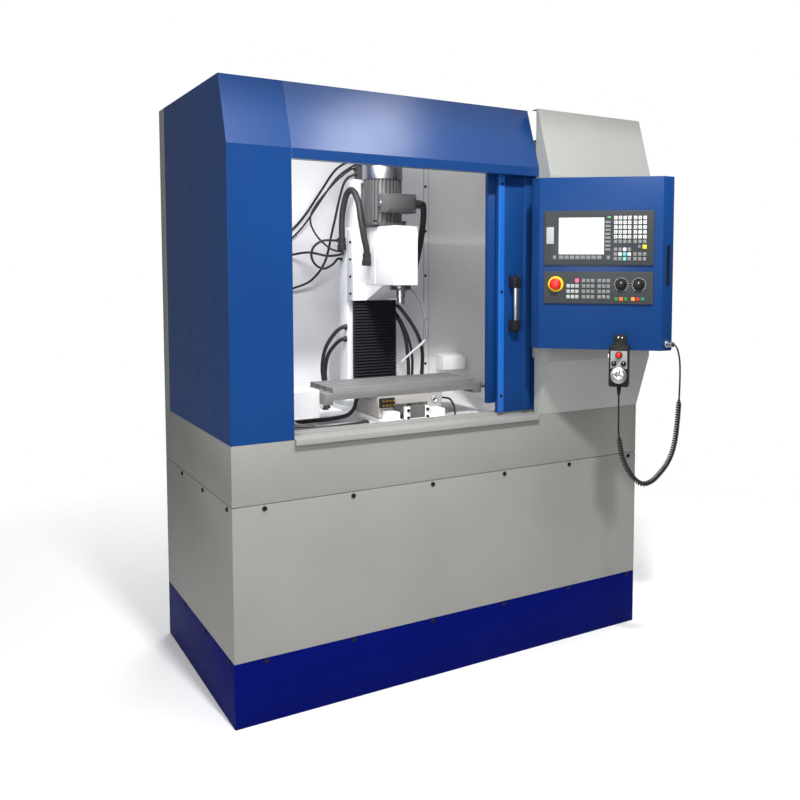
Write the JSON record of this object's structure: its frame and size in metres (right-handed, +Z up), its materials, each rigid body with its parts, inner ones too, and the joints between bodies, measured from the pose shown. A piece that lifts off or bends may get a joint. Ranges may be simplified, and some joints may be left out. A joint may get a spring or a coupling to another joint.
{
  "type": "enclosed vertical milling machine",
  "caption": "Small enclosed vertical milling machine on a plinth, with a sliding front door, T-slot table, bellows-covered column, swinging control box and hand-held pendant.",
  "frame": {"origin": "on the floor under the middle of the plinth", "axes": "+Z up, front of the machine towards -Y, control box on the +X side"},
  "size_m": [1.75, 1.4811, 2.162],
  "materials": {
    "blue_paint": "gloss powder coat",
    "navy_paint": "gloss powder coat",
    "grey_paint": "fine textured powder coat",
    "light_paint": "fine textured powder coat",
    "white_paint": "semi-gloss powder coat",
    "cast_white": "painted casting",
    "table_iron": "ground",
    "bright_steel": "turned",
    "frame_steel": "satin paint",
    "sill_steel": "satin paint",
    "motor_paint": "satin paint",
    "black_rubber": "matte",
    "black_plastic": "fine texture",
    "cable_plastic": "satin",
    "panel_dark": "satin",
    "screen_plastic": "lit screen",
    "key_plastic": "satin",
    "yellow_plastic": "gloss",
    "red_plastic": "gloss",
    "dial_metal": "turned",
    "bolt_black": "black oxide",
    "pane": "clear"
  },
  "bodies": {
    "frame": {"base_plinth": "navy_paint", "lower_panels": "grey_paint", "stand_frame": "frame_steel", "panel_bolts": "bolt_black", "tray_skirt": "grey_paint", "chip_tray": "white_paint", "door_sill": "sill_steel", "left_cover": "blue_paint", "header_cover": "blue_paint", "door_rail": "bright_steel", "cabinet_front": "light_paint", "right_cover": "light_paint", "rear_cover": "grey_paint", "back_liner": "white_paint", "wall_box": "white_paint", "bed": "cast_white", "column": "cast_white", "bellows": "black_rubber", "axis_motors": "motor_paint", "swivel_bracket": "frame_steel", "wall_cables": "cable_plastic", "coolant_hose": "black_rubber"},
    "saddle_body": {"saddle": "cast_white", "table_cables": "cable_plastic"},
    "table_body": {"table": "table_iron", "x_motor_cover": "white_paint"},
    "head_body": {"head_casting": "cast_white", "head_cover": "white_paint", "spindle_motor": "motor_paint", "spindle_cartridge": "bright_steel", "head_conduits": "cable_plastic", "drive_belt": "black_rubber"},
    "x_screw_body": {"x_screw": "bright_steel"},
    "y_screw_body": {"y_screw": "bright_steel"},
    "z_screw_body": {"z_screw": "bright_steel"},
    "spindle_body": {"spindle_shaft": "bright_steel", "tool_holder": "bright_steel"},
    "motor_body": {"motor_pulley": "bright_steel"},
    "front_door": {"front_door_leaf": "blue_paint", "front_door_window": "pane", "door_handle": "black_plastic"},
    "rear_door": {"rear_door_leaf": "blue_paint", "rear_door_window": "pane"},
    "control_body": {"control_box": "blue_paint", "operator_panels": "panel_dark", "display_screen": "screen_plastic", "panel_keys": "key_plastic", "estop_base": "yellow_plastic", "pendant_hook": "black_plastic", "pendant_body": "black_plastic", "cord_connector": "dial_metal", "pendant_cord": "cable_plastic"},
    "estop_body": {"estop_button": "red_plastic"},
    "feed_knob_body": {"feed_knob": "black_plastic"},
    "speed_knob_body": {"speed_knob": "black_plastic"},
    "dial_body": {"pendant_dial": "dial_metal"},
    "axis_knob_body": {"pendant_axis_knob": "black_plastic"},
    "step_knob_body": {"pendant_step_knob": "black_plastic"},
    "pendant_stop_body": {"pendant_stop_button": "red_plastic"},
    "enable_body": {"pendant_enable_button": "black_plastic"}
  },
  "joints": [
    {"name": "front_door_slide", "type": "slide", "parent": "frame", "child": "front_door", "axis": [-1, 0, 0], "range_m": [0, 0.84]},
    {"name": "rear_door_slide", "type": "slide", "parent": "frame", "child": "rear_door", "axis": [-1, 0, 0], "range_m": [0, 0.42]},
    {"name": "saddle_slide", "type": "slide", "parent": "frame", "child": "saddle_body", "axis": [0, 1, 0], "range_m": [-0.07, 0.07]},
    {"name": "table_slide", "type": "slide", "parent": "saddle_body", "child": "table_body", "axis": [1, 0, 0], "range_m": [-0.14, 0.15], "deforming": ["table_cables"]},
    {"name": "head_slide", "type": "slide", "parent": "frame", "child": "head_body", "axis": [0, 0, 1], "range_m": [-0.28, 0], "deforming": ["bellows", "head_conduits"]},
    {"name": "x_screw_turn", "type": "hinge", "parent": "table_body", "child": "x_screw_body", "pos_m": [-0.13, -0.155, 1.05], "axis": [1, 0, 0], "continuous": true},
    {"name": "y_screw_turn", "type": "hinge", "parent": "frame", "child": "y_screw_body", "pos_m": [-0.115, -0.1, 0.95], "axis": [0, 1, 0], "continuous": true},
    {"name": "z_screw_turn", "type": "hinge", "parent": "frame", "child": "z_screw_body", "pos_m": [-0.115, 0.112, 1.4], "axis": [0, 0, 1], "continuous": true},
    {"name": "spindle_turn", "type": "hinge", "parent": "head_body", "child": "spindle_body", "pos_m": [-0.115, -0.183, 1.5], "axis": [0, 0, 1], "continuous": true},
    {"name": "motor_turn", "type": "hinge", "parent": "head_body", "child": "motor_body", "pos_m": [-0.115, -0.025, 1.65], "axis": [0, 0, 1], "continuous": true},
    {"name": "control_swivel", "type": "hinge", "parent": "frame", "child": "control_body", "pos_m": [0.518, -0.665, 1.555], "axis": [0, 0, 1], "range_deg": [0, 60]},
    {"name": "estop_press", "type": "slide", "parent": "control_body", "child": "estop_body", "axis": [0.7071, 0.7071, 0], "range_m": [0, 0.004]},
    {"name": "feed_turn", "type": "hinge", "parent": "control_body", "child": "feed_knob_body", "pos_m": [0.46567, -0.83046, 1.479], "axis": [-0.7071, -0.7071, 0], "range_deg": [-150, 150]},
    {"name": "speed_turn", "type": "hinge", "parent": "control_body", "child": "speed_knob_body", "pos_m": [0.51093, -0.87572, 1.479], "axis": [-0.7071, -0.7071, 0], "range_deg": [-150, 150]},
    {"name": "dial_turn", "type": "hinge", "parent": "control_body", "child": "dial_body", "pos_m": [0.42905, -0.86497, 1.148], "axis": [-0.7071, -0.7071, 0], "continuous": true},
    {"name": "axis_select", "type": "hinge", "parent": "control_body", "child": "axis_knob_body", "pos_m": [0.41667, -0.85259, 1.192], "axis": [-0.7071, -0.7071, 0], "range_deg": [-60, 60]},
    {"name": "step_select", "type": "hinge", "parent": "control_body", "child": "step_knob_body", "pos_m": [0.44142, -0.87734, 1.192], "axis": [-0.7071, -0.7071, 0], "range_deg": [-60, 60]},
    {"name": "pendant_stop_press", "type": "slide", "parent": "control_body", "child": "pendant_stop_body", "axis": [0.7071, 0.7071, 0], "range_m": [0, 0.003]},
    {"name": "enable_press", "type": "slide", "parent": "control_body", "child": "enable_body", "axis": [0.7071, -0.7071, 0], "range_m": [0, 0.004], "stiffness_N_per_m": 600}
  ],
  "couplings": [
    {"joint": "rear_door_slide", "follows": "front_door_slide", "ratio": 0.5},
    {"joint": "motor_turn", "follows": "spindle_turn", "ratio": 1.2},
    {"joint": "x_screw_turn", "follows": "table_slide", "rad_per_m": 628.32},
    {"joint": "y_screw_turn", "follows": "saddle_slide", "rad_per_m": 628.32},
    {"joint": "z_screw_turn", "follows": "head_slide", "rad_per_m": 628.32}
  ]
}
